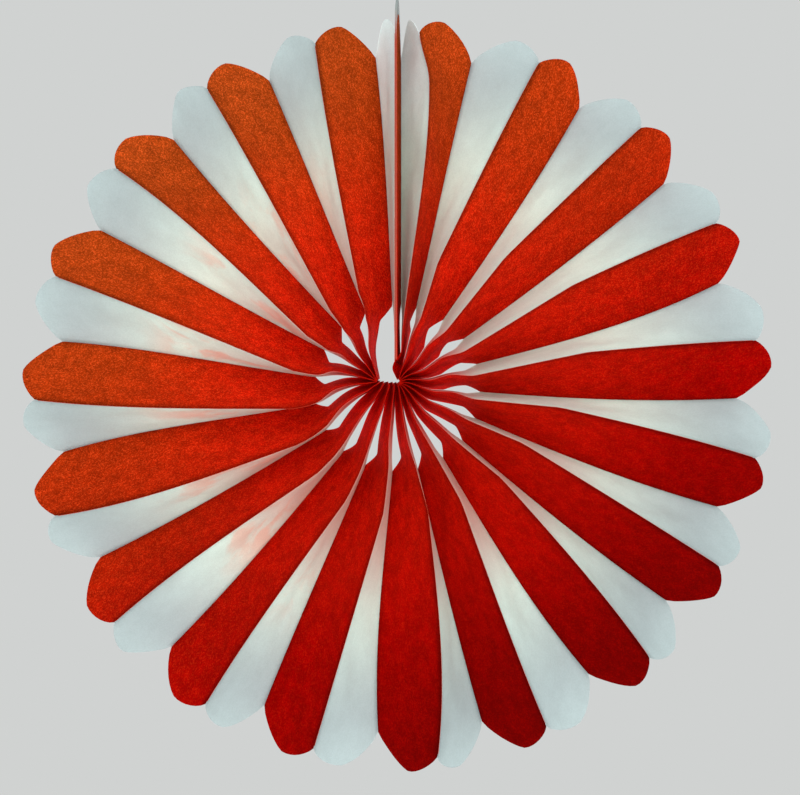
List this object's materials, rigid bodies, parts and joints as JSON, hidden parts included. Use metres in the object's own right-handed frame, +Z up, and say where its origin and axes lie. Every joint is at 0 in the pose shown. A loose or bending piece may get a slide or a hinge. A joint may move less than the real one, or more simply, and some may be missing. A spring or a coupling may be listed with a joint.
{
  "type": "paper fan rosette",
  "caption": "Round hanging paper fan of alternating red and white die-cut leaves, opened into a pleated wheel with pointed petals, a ring of hub windows and a hanging hole.",
  "frame": {"origin": "centre of the hanging hole, in the two cover cards at the top", "axes": "+Z up, +Y from the front of the fan to its back along the hub axis, +X to the right as seen from the front"},
  "size_m": [0.3993, 0.05, 0.4098],
  "materials": {
    "red_tissue": "matte crimson tissue paper",
    "white_tissue": "matte white tissue paper, faintly blue",
    "cover_board": "plain grey-white board"
  },
  "bodies": {
    "root": {"red_leaf_01": "red_tissue", "red_leaf_02": "red_tissue", "red_leaf_03": "red_tissue", "red_leaf_04": "red_tissue", "red_leaf_05": "red_tissue", "red_leaf_06": "red_tissue", "red_leaf_07": "red_tissue", "red_leaf_08": "red_tissue", "red_leaf_09": "red_tissue", "red_leaf_10": "red_tissue", "red_leaf_11": "red_tissue", "red_leaf_12": "red_tissue", "red_leaf_13": "red_tissue", "red_leaf_14": "red_tissue", "red_leaf_15": "red_tissue", "red_leaf_16": "red_tissue", "red_leaf_17": "red_tissue", "red_leaf_18": "red_tissue", "red_leaf_19": "red_tissue", "red_leaf_20": "red_tissue", "white_leaf_01": "white_tissue", "white_leaf_02": "white_tissue", "white_leaf_03": "white_tissue", "white_leaf_04": "white_tissue", "white_leaf_05": "white_tissue", "white_leaf_06": "white_tissue", "white_leaf_07": "white_tissue", "white_leaf_08": "white_tissue", "white_leaf_09": "white_tissue", "white_leaf_10": "white_tissue", "white_leaf_11": "white_tissue", "white_leaf_12": "white_tissue", "white_leaf_13": "white_tissue", "white_leaf_14": "white_tissue", "white_leaf_15": "white_tissue", "white_leaf_16": "white_tissue", "white_leaf_17": "white_tissue", "white_leaf_18": "white_tissue", "white_leaf_19": "white_tissue", "white_leaf_20": "white_tissue", "left_cover_card": "cover_board", "right_cover_card": "cover_board"}
  },
  "joints": []
}
